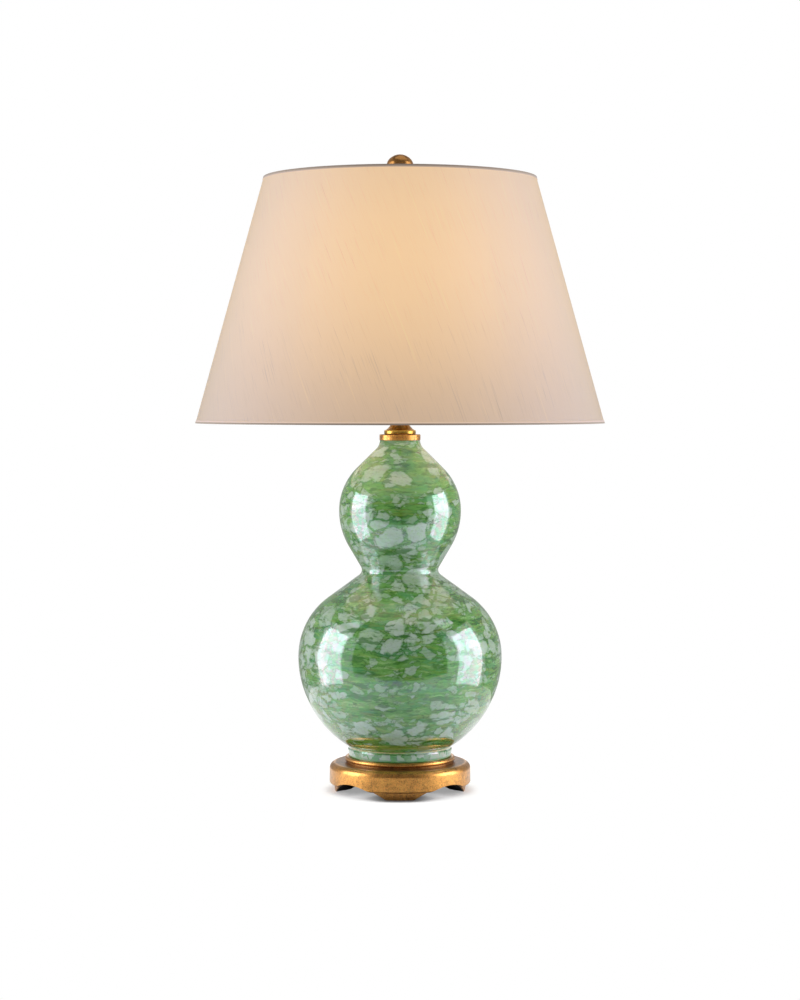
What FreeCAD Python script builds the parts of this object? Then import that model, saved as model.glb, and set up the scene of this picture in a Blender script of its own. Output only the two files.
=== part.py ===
import FreeCAD, Part
import math
import os

# Table lamp with a double gourd vase. Lengths are in millimetres and angles in degrees.
# Z is up, the origin is on the table under the lamp's axis, and -Y is the front.

V = FreeCAD.Vector
ORIGIN = V(0, 0, 0)
UP = V(0, 0, 1)
RIGHT = V(1, 0, 0)
BACK = V(0, 1, 0)
FRONT = V(0, -1, 0)

# Clearances
fit_gap = 0.15          # washer, nut or tube over the pipe
rest_gap = 0.3          # under a piece that lifts off its seat
running_gap = 0.06      # shaft that turns in its bore
slip_gap = 0.1          # sleeve or shell that slides into another

# Felt pads let into the soles of the feet
pad_radius = 6.0
pad_thickness = 1.2
pad_proud = 0.3
pad_inset = 2.0
feet = 4

# Plinth: heights are above the table
plinth_radius = 79.2
plinth_sole_inset = 6.2
plinth_tier_inset = 4.5
plinth_tier_height = 8.5
plinth_lip = 0.9
plinth_side_bottom = 10.4
plinth_side_top = 24.6
plinth_top_inset = 6.6
plinth_top_height = 32.2
bead_radius = 2.6
bead_gap = 0.24
bead_undercut = 2.0
bead_stem = 1.5
seat_drop = 0.6
arch_half_width = 39.8
arch_rise = 14.4
nut_well_gap = 2.0
plinth_web = 11.0

# Gasket let into the plinth's top
gasket_inset = 5.4
gasket_width = 18.0
gasket_thickness = 0.8

# Pipe, its nut and washer, and the bushing where the lead enters
pipe_radius = 4.85
pipe_bore = 3.25
pipe_top_in_cap = 1.5
washer_radius = 18.0
washer_thickness = 1.6
nut_flats = 14.3
nut_thickness = 3.2
bushing_bore = 3.0
bushing_flange_radius = 7.2
bushing_flange = 4.8
bushing_wall = 1.6
bushing_depth = 4.2
bushing_mouth_round = 0.8

# Vase: each rise is above the level before it, and each slope is the steepest between two levels
vase_wall = 6.0
vase_floor = 7.0
vase_hole = 7.0
foot_bottom_radius = 57.4
foot_flare = 1.0
foot_height = 8.6
foot_groove_depth = 0.9
foot_groove_slope = 1.6
foot_groove_width = 1.8
belly_radius = 114.3
belly_height = 112.5
belly_slope = 54.1
waist_radius = 40.9
waist_rise = 95.3
waist_round = 6.4
head_radius = 68.5
head_rise = 68.5
head_slope = 30.5
mouth_radius = 22.6
mouth_rise = 78.7
mouth_slope = 45.5
mouth_flare = 12.5

# Gilded disc on the vase's mouth
disc_radius = 23.0
disc_thickness = 6.7
disc_round = 1.0
spigot_length = 8.0
spigot_gap = 0.4

# Brass cap of the vase and the tube above it
collar_radius = 17.8
collar_height = 4.8
collar_round = 1.2
collar_step = 0.4
ogee_waist_radius = 11.1
ogee_waist_height = 5.0
ogee_top_radius = 8.0
ogee_height = 15.2
tube_wall = 1.6
tube_length = 16.0

# Saddle of the harp
saddle_thickness = 1.6
saddle_width = 12.0
saddle_end = 1.6
tongue_height = 9.4
tongue_thickness = 1.4
tongue_width = 2.4
tongue_spacing = 60.0
lock_washer_radius = 7.2
lock_washer_thickness = 1.0

# Harp: a bent wire whose flattened top holds the swivel stud
harp_wire_radius = 1.6
harp_width = 114.0
harp_height = 232.0
harp_leg_straight = 42.0
harp_shoulder = 94.0
harp_foot_bend = 30.0
harp_side_bend = 60.0
harp_top_bend = 50.0
harp_eye_radius = 7.0
harp_eye_thickness = 2.4
sleeve_gap = 0.34
sleeve_wall = 0.8
sleeve_length = 12.0

# Swivel stud at the harp's top
swivel_shank_radius = 2.5
swivel_head_radius = 4.6
swivel_head_thickness = 1.9
swivel_plate_radius = 9.5
swivel_plate_thickness = 2.0
stud_radius = 3.1
stud_length = 12.2

# Socket: heights are above the bottom of its cap
cap_hub_radius = 7.5
cap_hub_height = 7.0
cap_floor = 9.4
cap_ledge_height = 15.9
cap_ledge_radius = 12.8
cap_wall = 0.8
cap_height = 26.4
shell_wall = 0.6
shell_height = 63.0
shell_bead = 0.9
liner_wall = 0.6
liner_short = 3.0
core_gap = 0.5
core_rim = 0.65
core_skirt_wall = 2.6
core_skirt_height = 6.5
core_height = 31.5
screw_shell_wall = 0.5
thread_gap = 0.2
screw_shell_height = 26.0
contact_radius = 4.5
contact_thickness = 1.2
contact_boss_radius = 2.5
contact_boss_height = 2.4
terminal_height = 13.5
terminal_pocket = 3.2
terminal_pocket_width = 9.0
terminal_head_radius = 2.8
terminal_head_thickness = 2.2
terminal_shank_radius = 1.5
terminal_shank_length = 4.0
set_screw_radius = 1.5
set_screw_height = 3.6
set_screw_proud = 2.0

# Turn switch: its height is above the bottom of the socket's core
switch_height = 22.5
switch_shaft_radius = 2.0
switch_shaft_length = 21.0
switch_bore_depth = 9.5
switch_window = 1.2
knob_radius = 5.2
knob_length = 13.0
knob_reach = 3.8
knob_flutes = 10
knob_flute_radius = 0.9
knob_round = 1.5

# Bulb: heights are above its tip
tip_radius = 4.6
tip_height = 1.5
insulator_radius = 9.4
insulator_height = 3.4
screw_cap_radius = 13.05
screw_cap_height = 20.0
cap_sheet = 1.0
thread_depth = 0.85
thread_pitch = 3.63
thread_turns = 4
bulb_length = 108.0
globe_radius = 30.0
bulb_neck_radius = 14.0
bulb_neck_height = 32.0
glass_wall = 1.0
stem_radius = 3.2
stem_length = 24.0
filament_wire = 0.5
filament_rise = 22.0
filament_half_width = 11.0
filament_bend = 2.5

# Shade: the slope runs from the top radius to the bottom radius over the height
shade_top_radius = 152.4
shade_bottom_radius = 228.6
shade_height = 274.5
shade_rise_above_hub = 13.5
cover_thickness = 0.6
liner_thickness = 0.5
trim_thickness = 0.5
trim_height = 3.2
ring_radius = 1.2
hub_radius = 10.5
hub_thickness = 2.0
hub_gap = 0.2
spokes = 3
spoke_radius = 1.5
first_spoke_angle = 90.0

# Finial
finial_washer_radius = 8.0
finial_washer_thickness = 1.2
finial_flange_radius = 9.0
finial_flange = 1.6
finial_neck_radius = 5.4
finial_cup_radius = 7.2
finial_base_height = 12.2
finial_bore_depth = 10.0
ball_radius = 15.0
ball_height = 25.4
ball_side_arc = 10.75

# Heights above the table that follow from the sizes
plinth_top = plinth_top_height + bead_stem + 2 * bead_radius
vase_bottom = plinth_top - seat_drop
groove_bottom = vase_bottom + foot_height + foot_groove_slope
groove_top = groove_bottom + foot_groove_width
belly_level = vase_bottom + belly_height
waist_level = belly_level + waist_rise
head_level = waist_level + head_rise
vase_top = head_level + mouth_rise
well_top = vase_bottom - plinth_web
nut_bottom = well_top - washer_thickness - nut_thickness
pipe_bottom = nut_bottom - rest_gap - bushing_depth
disc_top = vase_top + disc_thickness
collar_top = disc_top + collar_height
ogee_top = disc_top + collar_height + ogee_height
saddle_bottom = ogee_top + tube_length
saddle_top = saddle_bottom + saddle_thickness
socket_bottom = saddle_top + lock_washer_thickness
ledge = socket_bottom + cap_ledge_height
core_top = ledge + core_height
shell_top = ledge + shell_height
pipe_top = socket_bottom + cap_floor + pipe_top_in_cap
tip_bottom = core_top + contact_thickness + contact_boss_height + rest_gap
screw_cap_bottom = tip_bottom + tip_height + insulator_height
glass_foot = screw_cap_bottom + screw_cap_height / 2
harp_bottom = saddle_top + rest_gap
harp_top = harp_bottom + harp_height
plate_bottom = harp_top + harp_eye_thickness / 2 + rest_gap
plate_top = plate_bottom + swivel_plate_thickness
hub_bottom = plate_top + rest_gap
hub_top = hub_bottom + hub_thickness
finial_washer_bottom = hub_top + rest_gap
finial_bottom = finial_washer_bottom + finial_washer_thickness + rest_gap
shade_top = hub_bottom + shade_rise_above_hub
shade_bottom = shade_top - shade_height
switch_z = ledge + switch_height

# Radii and reaches that follow from the sizes
pipe_hole = pipe_radius + fit_gap
plinth_sole_radius = plinth_radius - plinth_sole_inset
pad_circle = plinth_sole_radius - pad_inset - pad_radius
bead_half_chord = math.sqrt(bead_radius ** 2 - (bead_radius - seat_drop) ** 2)
bead_centre_radius = foot_bottom_radius + bead_gap + bead_half_chord
foot_top_radius = foot_bottom_radius + foot_flare
groove_radius = foot_top_radius - foot_groove_depth
screw_cap_root = screw_cap_radius - thread_depth
glass_foot_radius = screw_cap_root - cap_sheet - fit_gap
screw_shell_bore = screw_cap_radius + thread_gap
core_radius = screw_shell_bore + screw_shell_wall + core_rim
liner_outer = core_radius + core_gap + liner_wall
shell_bore = liner_outer + slip_gap
shell_radius = shell_bore + shell_wall
cap_bore = shell_radius + slip_gap
harp_leg_x = tongue_spacing / 2 + tongue_thickness / 2 + fit_gap + harp_wire_radius
sleeve_x = (tongue_spacing / 2 - tongue_thickness / 2 + harp_leg_x + harp_wire_radius) / 2
sleeve_bore = math.hypot(harp_leg_x + harp_wire_radius - sleeve_x, tongue_width / 2) + sleeve_gap
hub_bore = stud_radius + hub_gap
shade_slope_length = math.hypot(shade_height, shade_bottom_radius - shade_top_radius)


def spot(radius, height):
    """A point of an outline, in the half plane that is turned about Z."""
    return V(radius, 0, height)


def on_arc(centre, radius, angle):
    """The point of a circle in that half plane, at an angle in radians."""
    return spot(centre.x + radius * math.cos(angle), centre.z + radius * math.sin(angle))


def outline(start, *steps):
    """A closed wire. A step is a point to draw a line to, or a pair: a point on an arc and its end."""
    edges = []
    here = start
    for step in steps + (start,):
        if isinstance(step, tuple):
            edges.append(Part.Arc(here, step[0], step[1]).toShape())
            here = step[1]
        elif here.distanceToPoint(step) > 1e-6:
            edges.append(Part.LineSegment(here, step).toShape())
            here = step
    return Part.Wire(edges)


def turned(start, *steps):
    """A solid of revolution about Z."""
    return Part.Face(outline(start, *steps)).revolve(ORIGIN, UP, 360)


def ring(outer, inner, bottom, top):
    """A flat washer or tube about Z."""
    body = Part.makeCylinder(outer, top - bottom, V(0, 0, bottom))
    return body.cut(Part.makeCylinder(inner, top - bottom, V(0, 0, bottom)))


def bent_wire(points, bends, radius):
    """A round wire along straight runs, with one arc of the given radius at each inner point."""
    edges = []
    here = points[0]
    for last, corner, after, bend in zip(points, points[1:], points[2:], bends):
        before = (last - corner).normalize()
        onward = (after - corner).normalize()
        half = before.getAngle(onward) / 2
        reach = bend / math.tan(half)
        middle = (before + onward).normalize() * (bend / math.sin(half) - bend)
        edges.append(Part.LineSegment(here, corner + before * reach).toShape())
        here = corner + onward * reach
        edges.append(Part.Arc(corner + before * reach, corner + middle, here).toShape())
    edges.append(Part.LineSegment(here, points[-1]).toShape())
    profile = Part.Wire(Part.makeCircle(radius, points[0], points[1] - points[0]))
    return Part.Wire(edges).makePipeShell([profile], True, False)


def around(solid, count, first=0.0):
    """Copies of a solid, evenly spaced about Z."""
    copies = []
    for number in range(count):
        copy = solid.copy()
        copy.rotate(ORIGIN, UP, first + number * 360.0 / count)
        copies.append(copy)
    return copies


def tangent_angle(centre, radius, point, side):
    """Where a line from a point touches a circle, as an angle in radians at its centre."""
    across = point.x - centre.x
    up = point.z - centre.z
    return math.atan2(up, across) + side * math.acos(radius / math.hypot(across, up))


def slope_arc(across, rise, slope):
    """The radius of an arc that starts upright and runs into a sloping line to a point across and above."""
    turn = math.radians(slope)
    return (rise * math.sin(turn) - across * math.cos(turn)) / (1 - math.cos(turn))


def felt_pads():
    pad = Part.makeCylinder(pad_radius, pad_thickness, V(0, -pad_circle, 0))
    return Part.makeCompound(around(pad, feet))


def arch_tunnel():
    """The round-topped tunnel that runs from the axis out between two feet."""
    radius = (arch_half_width ** 2 + arch_rise ** 2) / (2 * arch_rise)
    return Part.makeCylinder(radius, 2 * plinth_radius, V(0, 0, arch_rise - radius), RIGHT)


def quarter(start, end, corner):
    """The middle and end of a quarter round between two points, bulging towards their corner."""
    share = math.sqrt(0.5)
    centre = start + end - corner
    return centre + (corner - centre) * share, end


def base_plinth():
    side_bottom = spot(plinth_radius, plinth_side_bottom)
    side_top = spot(plinth_radius, plinth_side_top)
    rim = spot(plinth_radius - plinth_top_inset, plinth_top_height)
    tier = spot(plinth_radius - plinth_tier_inset, plinth_tier_height)
    lip = spot(tier.x + plinth_lip, tier.z)
    bead_centre = spot(bead_centre_radius, plinth_top - bead_radius)
    bead_start = -math.acos(1 - bead_undercut / bead_radius)
    bead_end = math.pi - math.asin(1 - seat_drop / bead_radius)
    bead_foot = on_arc(bead_centre, bead_radius, bead_start)
    body = turned(spot(0, pad_proud), spot(plinth_sole_radius, pad_proud), tier, lip,
                  quarter(lip, side_bottom, spot(side_bottom.x, lip.z)),
                  side_top, quarter(side_top, rim, spot(side_top.x, rim.z)),
                  spot(bead_foot.x, plinth_top_height), bead_foot,
                  (on_arc(bead_centre, bead_radius, 0), on_arc(bead_centre, bead_radius, bead_end)),
                  spot(0, vase_bottom))
    for tunnel in around(arch_tunnel(), feet, 180.0 / feet):
        body = body.cut(tunnel)
    body = body.cut(Part.makeCylinder(washer_radius + nut_well_gap, well_top))
    body = body.cut(Part.makeCylinder(pipe_hole, plinth_top))
    return body.cut(vase_gasket()).cut(felt_pads())


def vase_gasket():
    outer = foot_bottom_radius - gasket_inset
    return ring(outer, outer - gasket_width, vase_bottom - gasket_thickness, vase_bottom)


def threaded_pipe():
    return ring(pipe_radius, pipe_bore, pipe_bottom, pipe_top)


def base_washer():
    return ring(washer_radius, pipe_hole, well_top - washer_thickness, well_top)


def base_nut():
    corner = nut_flats / 2 / math.cos(math.pi / 6)
    corners = [V(corner * math.cos(turn * math.pi / 3), corner * math.sin(turn * math.pi / 3), nut_bottom)
               for turn in range(7)]
    nut = Part.Face(Part.makePolygon(corners)).extrude(UP * nut_thickness)
    return nut.cut(Part.makeCylinder(pipe_hole, nut_thickness, V(0, 0, nut_bottom)))


def cord_bushing():
    """The lead's inlet: a flanged sleeve over the lower end of the pipe."""
    flange_bottom = pipe_bottom - bushing_flange
    sleeve_top = pipe_bottom + bushing_depth
    mouth = bushing_bore + bushing_mouth_round
    mouth_centre = spot(mouth, flange_bottom + bushing_mouth_round)
    return turned(spot(bushing_bore, pipe_bottom), spot(bushing_bore, mouth_centre.z),
                  (on_arc(mouth_centre, bushing_mouth_round, math.radians(225)), spot(mouth, flange_bottom)),
                  spot(bushing_flange_radius, flange_bottom), spot(bushing_flange_radius, pipe_bottom),
                  spot(pipe_hole + bushing_wall, pipe_bottom), spot(pipe_hole + bushing_wall, sleeve_top),
                  spot(pipe_hole, sleeve_top), spot(pipe_hole, pipe_bottom))


def belly_low_arc():
    """The radius of the belly's low arc, which starts upright and ends at the top of the foot's groove."""
    across = belly_radius - groove_radius
    fall = belly_level - groove_top
    return (across ** 2 + fall ** 2) / 2 / across


def gourd_side(inset):
    """The steps of the vase's side from the belly's low arc up to the mouth, moved inwards by inset."""
    into_waist = math.radians(belly_slope)
    out_of_waist = -math.radians(head_slope)
    into_mouth = math.radians(mouth_slope)
    belly_arc = slope_arc(belly_radius - waist_radius, waist_rise, belly_slope)
    head_low_arc = slope_arc(head_radius - waist_radius, head_rise, head_slope)
    head_high_arc = slope_arc(head_radius - mouth_radius, mouth_rise, mouth_slope) - mouth_flare

    belly = spot(belly_radius - belly_arc, belly_level)
    head_low = spot(head_radius - head_low_arc, head_level)
    head_high = spot(head_radius - head_high_arc, head_level)
    flare = spot(mouth_radius + mouth_flare, vase_top)
    half = (math.pi - into_waist + out_of_waist) / 2
    middle = (into_waist + out_of_waist) / 2
    waist = on_arc(spot(waist_radius, waist_level), waist_round / math.sin(half), middle)

    high = belly_arc - inset
    head_one = head_low_arc - inset
    head_two = head_high_arc - inset
    round_arc = waist_round + inset
    mouth_arc = mouth_flare + inset
    round_end = on_arc(waist, round_arc, out_of_waist + math.pi)
    return [
        (on_arc(belly, high, into_waist / 2), on_arc(belly, high, into_waist)),
        on_arc(waist, round_arc, into_waist + math.pi),
        (on_arc(waist, round_arc, middle + math.pi), round_end),
        on_arc(head_low, head_one, out_of_waist),
        (on_arc(head_low, head_one, out_of_waist / 2), spot(head_radius - inset, head_level)),
        (on_arc(head_high, head_two, into_mouth / 2), on_arc(head_high, head_two, into_mouth)),
        on_arc(flare, mouth_arc, into_mouth + math.pi),
        (on_arc(flare, mouth_arc, into_mouth / 2 + math.pi), spot(mouth_radius - inset, vase_top)),
    ]


def belly_rise(inset, bottom):
    """The start of the belly's low arc at a height, and the step from there up to its widest level."""
    radius = belly_low_arc() - inset
    centre = spot(belly_radius - belly_low_arc(), belly_level)
    start = -math.asin((belly_level - bottom) / radius)
    widest = spot(belly_radius - inset, belly_level)
    return on_arc(centre, radius, start), (on_arc(centre, radius, start / 2), widest)


def vase_body():
    low_start, low_rise = belly_rise(0, groove_top)
    outside = turned(spot(0, vase_bottom), spot(foot_bottom_radius, vase_bottom),
                     spot(foot_top_radius, vase_bottom + foot_height), spot(groove_radius, groove_bottom),
                     low_start, low_rise, *gourd_side(0), spot(0, vase_top))
    floor = vase_bottom + vase_floor
    low_start, low_rise = belly_rise(vase_wall, floor)
    inside = turned(spot(0, floor), low_start, low_rise, *gourd_side(vase_wall), spot(0, vase_top))
    hole = Part.makeCylinder(vase_hole, 2 * vase_floor, V(0, 0, vase_bottom - vase_floor / 2))
    return outside.cut(inside).cut(hole)


def neck_disc():
    spigot = mouth_radius - vase_wall - spigot_gap
    low_centre = spot(disc_radius - disc_round, vase_top + disc_round)
    top_centre = spot(disc_radius - disc_round, disc_top - disc_round)
    return turned(spot(pipe_hole, vase_top - spigot_length), spot(spigot, vase_top - spigot_length),
                  spot(spigot, vase_top), spot(low_centre.x, vase_top),
                  (on_arc(low_centre, disc_round, -math.pi / 4), spot(disc_radius, low_centre.z)),
                  spot(disc_radius, top_centre.z),
                  (on_arc(top_centre, disc_round, math.pi / 4), spot(top_centre.x, disc_top)),
                  spot(pipe_hole, disc_top))


def vase_cap():
    low_centre = spot(collar_radius - collar_round, disc_top + collar_round)
    top_centre = spot(collar_radius - collar_round, collar_top - collar_round)
    return turned(spot(pipe_hole, disc_top), spot(low_centre.x, disc_top),
                  (on_arc(low_centre, collar_round, -math.pi / 4), spot(collar_radius, low_centre.z)),
                  spot(collar_radius, top_centre.z),
                  (on_arc(top_centre, collar_round, math.pi / 4), spot(top_centre.x, collar_top)),
                  spot(top_centre.x - collar_step, collar_top),
                  (spot(ogee_waist_radius, collar_top + ogee_waist_height), spot(ogee_top_radius, ogee_top)),
                  spot(pipe_hole, ogee_top))


def neck_tube():
    return ring(pipe_hole + tube_wall, pipe_hole, ogee_top, saddle_bottom)


def harp_saddle():
    """A strip under the socket with an upright tongue inside each leg of the harp."""
    half = harp_leg_x + harp_wire_radius + saddle_end
    corner = V(-half, -saddle_width / 2, saddle_bottom)
    saddle = Part.makeBox(2 * half, saddle_width, saddle_thickness, corner)
    for side in (-1, 1):
        corner = V(side * tongue_spacing / 2 - tongue_thickness / 2, -tongue_width / 2, saddle_bottom)
        tongue = Part.makeBox(tongue_thickness, tongue_width, saddle_thickness + tongue_height, corner)
        saddle = saddle.fuse(tongue)
    saddle = saddle.removeSplitter()
    return saddle.cut(Part.makeCylinder(pipe_hole, saddle_thickness, V(0, 0, saddle_bottom)))


def lock_washer():
    return ring(lock_washer_radius, pipe_hole, saddle_top, socket_bottom)


def harp_wire():
    half = harp_width / 2
    left = [V(-harp_leg_x, 0, harp_bottom), V(-harp_leg_x, 0, harp_bottom + harp_leg_straight),
            V(-half, 0, harp_bottom + harp_shoulder), V(-half, 0, harp_top)]
    right = [V(-point.x, 0, point.z) for point in reversed(left)]
    bends = [harp_foot_bend, harp_side_bend, harp_top_bend]
    wire = bent_wire(left + right, bends + bends[::-1], harp_wire_radius)
    eye_bottom = harp_top - harp_eye_thickness / 2
    wire = wire.fuse(Part.makeCylinder(harp_eye_radius, harp_eye_thickness, V(0, 0, eye_bottom)))
    hole = Part.makeCylinder(swivel_shank_radius + running_gap, 4 * harp_wire_radius,
                             V(0, 0, harp_top - 2 * harp_wire_radius))
    flat = Part.makeCylinder(swivel_plate_radius + rest_gap, harp_wire_radius)
    for bottom in (eye_bottom + harp_eye_thickness, eye_bottom - harp_wire_radius):
        flat.Placement.Base = V(0, 0, bottom)
        wire = wire.cut(flat)
    return wire.cut(hole)


def harp_sleeve(side):
    """The ferrule that ties one leg of the harp to the saddle's tongue."""
    sleeve = ring(sleeve_bore + sleeve_wall, sleeve_bore, harp_bottom, harp_bottom + sleeve_length)
    sleeve.translate(V(side * sleeve_x, 0, 0))
    return sleeve


def swivel_stud():
    head_top = harp_top - harp_eye_thickness / 2 - rest_gap
    head_bottom = head_top - swivel_head_thickness
    return turned(spot(0, head_bottom), spot(swivel_head_radius, head_bottom),
                  spot(swivel_head_radius, head_top),
                  spot(swivel_shank_radius, head_top), spot(swivel_shank_radius, plate_bottom),
                  spot(swivel_plate_radius, plate_bottom), spot(swivel_plate_radius, plate_top),
                  spot(stud_radius, plate_top), spot(stud_radius, plate_top + stud_length),
                  spot(0, plate_top + stud_length))


def socket_cap():
    outer = cap_bore + cap_wall
    top = socket_bottom + cap_height
    hub_top_height = socket_bottom + cap_hub_height
    floor = socket_bottom + cap_floor
    dome_end = spot(outer, ledge - cap_wall)
    dome_middle = spot(cap_hub_radius + (outer - cap_hub_radius) * math.sqrt(0.5),
                       hub_top_height + (dome_end.z - hub_top_height) * (1 - math.sqrt(0.5)))
    return turned(spot(pipe_hole, socket_bottom), spot(cap_hub_radius, socket_bottom),
                  spot(cap_hub_radius, hub_top_height), (dome_middle, dome_end), spot(outer, top),
                  spot(cap_bore, top), spot(cap_bore, ledge), spot(cap_ledge_radius, ledge),
                  spot(cap_hub_radius, floor), spot(pipe_hole, floor)).cut(set_screw_hole())


def set_screw_hole():
    return Part.makeCylinder(set_screw_radius, 2 * cap_hub_radius,
                             V(0, 0, socket_bottom + set_screw_height), BACK)


def cap_set_screw():
    start = V(0, pipe_radius + slip_gap, socket_bottom + set_screw_height)
    length = cap_hub_radius + set_screw_proud - start.y
    return Part.makeCylinder(set_screw_radius, length, start, BACK)


def switch_opening():
    """The round window of the shell and liner that the switch shaft passes."""
    return Part.makeCylinder(switch_shaft_radius + switch_window, 2 * shell_radius, V(0, 0, switch_z), FRONT)


def socket_shell():
    bead_centre = spot(shell_radius, shell_top - shell_bead)
    shell = turned(spot(shell_bore, ledge), spot(shell_radius, ledge),
                   spot(shell_radius, shell_top - 2 * shell_bead),
                   (on_arc(bead_centre, shell_bead, 0), spot(shell_radius, shell_top)),
                   spot(shell_bore, shell_top))
    return shell.cut(switch_opening())


def socket_liner():
    liner = ring(liner_outer, liner_outer - liner_wall, ledge, shell_top - liner_short)
    return liner.cut(switch_opening())


def both_sides(solid):
    """A piece on the right and its mirror image on the left."""
    return [solid, solid.mirror(ORIGIN, RIGHT)]


def terminal_shank(length):
    """The right terminal's shank, or its hole, from its inner end outwards."""
    start = V(core_radius - terminal_pocket - terminal_shank_length, 0, ledge + terminal_height)
    return Part.makeCylinder(terminal_shank_radius, length, start, RIGHT)


def terminal_pocket_cutter():
    half = terminal_pocket_width / 2
    corner = V(core_radius - terminal_pocket, -half, ledge + terminal_height - half)
    return Part.makeBox(core_radius, terminal_pocket_width, terminal_pocket_width, corner)


def socket_core():
    """The moulded body that carries the screw shell, the contact, the terminals and the switch."""
    skirt_bore = core_radius - core_skirt_wall
    skirt_top = ledge + core_skirt_height
    body = turned(spot(0, skirt_top), spot(skirt_bore, skirt_top), spot(skirt_bore, ledge),
                  spot(core_radius, ledge), spot(core_radius, core_top), spot(0, core_top))
    cutters = both_sides(terminal_pocket_cutter()) + both_sides(terminal_shank(terminal_shank_length))
    for cutter in cutters:
        body = body.cut(cutter)
    bore_start = V(0, switch_bore_depth - core_radius, switch_z)
    return body.cut(Part.makeCylinder(switch_shaft_radius + running_gap, core_radius, bore_start, FRONT))


def terminal_screws():
    shank = terminal_shank(terminal_shank_length + terminal_head_thickness / 2)
    head_start = V(core_radius - terminal_pocket, 0, ledge + terminal_height)
    head = Part.makeCylinder(terminal_head_radius, terminal_head_thickness, head_start, RIGHT)
    return Part.makeCompound(both_sides(shank.fuse(head).removeSplitter()))


def screw_shell():
    outer = screw_shell_bore + screw_shell_wall
    return ring(outer, screw_shell_bore, core_top, core_top + screw_shell_height)


def centre_contact():
    disc = Part.makeCylinder(contact_radius, contact_thickness, V(0, 0, core_top))
    boss = Part.makeCylinder(contact_boss_radius, contact_thickness + contact_boss_height, V(0, 0, core_top))
    return disc.fuse(boss).removeSplitter()


def switch_shaft():
    start = core_radius - switch_bore_depth + rest_gap
    return Part.makeCylinder(switch_shaft_radius, switch_shaft_length, V(0, -start, switch_z), FRONT)


def switch_knob():
    """The fluted knob, turned upright and then laid on the end of the shaft."""
    start = cap_bore + cap_wall + knob_reach
    shaft_end = core_radius - switch_bore_depth + rest_gap + switch_shaft_length
    depth = shaft_end - start
    end_centre = spot(knob_radius - knob_round, knob_length - knob_round)
    knob = turned(spot(switch_shaft_radius, 0), spot(knob_radius, 0), spot(knob_radius, end_centre.z),
                  (on_arc(end_centre, knob_round, math.pi / 4), spot(end_centre.x, knob_length)),
                  spot(0, knob_length), spot(0, depth), spot(switch_shaft_radius, depth))
    flute = Part.makeCylinder(knob_flute_radius, knob_length, V(knob_radius, 0, 2 * knob_flute_radius))
    for cutter in around(flute, knob_flutes):
        knob = knob.cut(cutter)
    knob.rotate(ORIGIN, RIGHT, 90)
    knob.translate(V(0, -start, switch_z))
    return knob


def bulb_tip():
    return Part.makeCylinder(tip_radius, tip_height, V(0, 0, tip_bottom))


def bulb_insulator():
    bottom = tip_bottom + tip_height
    top = bottom + insulator_height
    return turned(spot(0, bottom), spot(tip_radius, bottom), spot(insulator_radius, top), spot(0, top))


def bulb_screw_cap():
    """The threaded cap, with its rounded thread drawn as rings."""
    bottom = screw_cap_bottom
    top = bottom + screw_cap_height
    steps = [spot(insulator_radius, bottom), spot(screw_cap_root, bottom + thread_pitch / 2)]
    for number in range(thread_turns):
        crest = bottom + thread_pitch * (number + 1)
        steps.append((spot(screw_cap_radius, crest), spot(screw_cap_root, crest + thread_pitch / 2)))
    steps += [spot(screw_cap_root, top), spot(screw_cap_root - cap_sheet, top),
              spot(screw_cap_root - cap_sheet, bottom + cap_sheet), spot(0, bottom + cap_sheet)]
    return turned(spot(0, bottom), *steps)


def bulb_side(inset):
    """The steps of the glass from its foot to its crown, moved inwards by inset."""
    centre = spot(0, tip_bottom + bulb_length - globe_radius)
    neck = spot(bulb_neck_radius, tip_bottom + bulb_neck_height)
    touch = tangent_angle(centre, globe_radius, neck, 1)
    globe = globe_radius - inset
    foot = glass_foot_radius - inset
    return [spot(foot, glass_foot), spot(foot, screw_cap_bottom + screw_cap_height),
            spot(bulb_neck_radius - inset, neck.z), on_arc(centre, globe, touch),
            (on_arc(centre, globe, math.pi / 4), spot(0, centre.z + globe))]


def bulb_glass():
    outside = turned(spot(0, glass_foot), *bulb_side(0))
    return outside.cut(turned(spot(0, glass_foot), *bulb_side(glass_wall)))


def bulb_stem():
    foot = glass_foot_radius - glass_wall
    return turned(spot(0, glass_foot), spot(foot, glass_foot), spot(foot, glass_foot + glass_wall),
                  spot(stem_radius, glass_foot + foot), spot(stem_radius, glass_foot + stem_length),
                  spot(0, glass_foot + stem_length))


def bulb_filament():
    """One wire from the stem, up and over in a low peak and back to the stem."""
    foot = glass_foot + stem_length
    near = stem_radius - 2 * filament_wire
    left = [V(-near, 0, foot), V(-near, 0, foot + 2 * filament_bend),
            V(-filament_half_width, 0, foot + filament_rise - filament_bend)]
    right = [V(-point.x, 0, point.z) for point in reversed(left)]
    peak = V(0, 0, foot + filament_rise)
    return bent_wire(left + [peak] + right, [filament_bend] * 5, filament_wire)


def shade_radius(height):
    """The outer radius of the fabric at a height above the table."""
    return shade_top_radius + (shade_bottom_radius - shade_top_radius) * (shade_top - height) / shade_height


def cone_band(outset, inset, bottom, top):
    """A band of the shade's cone, from outset outside the fabric's face to inset within it."""
    return turned(spot(shade_radius(bottom) - inset, bottom), spot(shade_radius(bottom) + outset, bottom),
                  spot(shade_radius(top) + outset, top), spot(shade_radius(top) - inset, top))


def shade_cover():
    return cone_band(0, cover_thickness, shade_bottom + trim_thickness, shade_top - trim_thickness)


def shade_liner():
    return cone_band(-cover_thickness, cover_thickness + liner_thickness,
                     shade_bottom + trim_thickness, shade_top - trim_thickness)


def across_slope(thickness):
    """How far a thickness reaches when it is measured level across the shade's sloping side."""
    return thickness * shade_slope_length / shade_height


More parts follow.
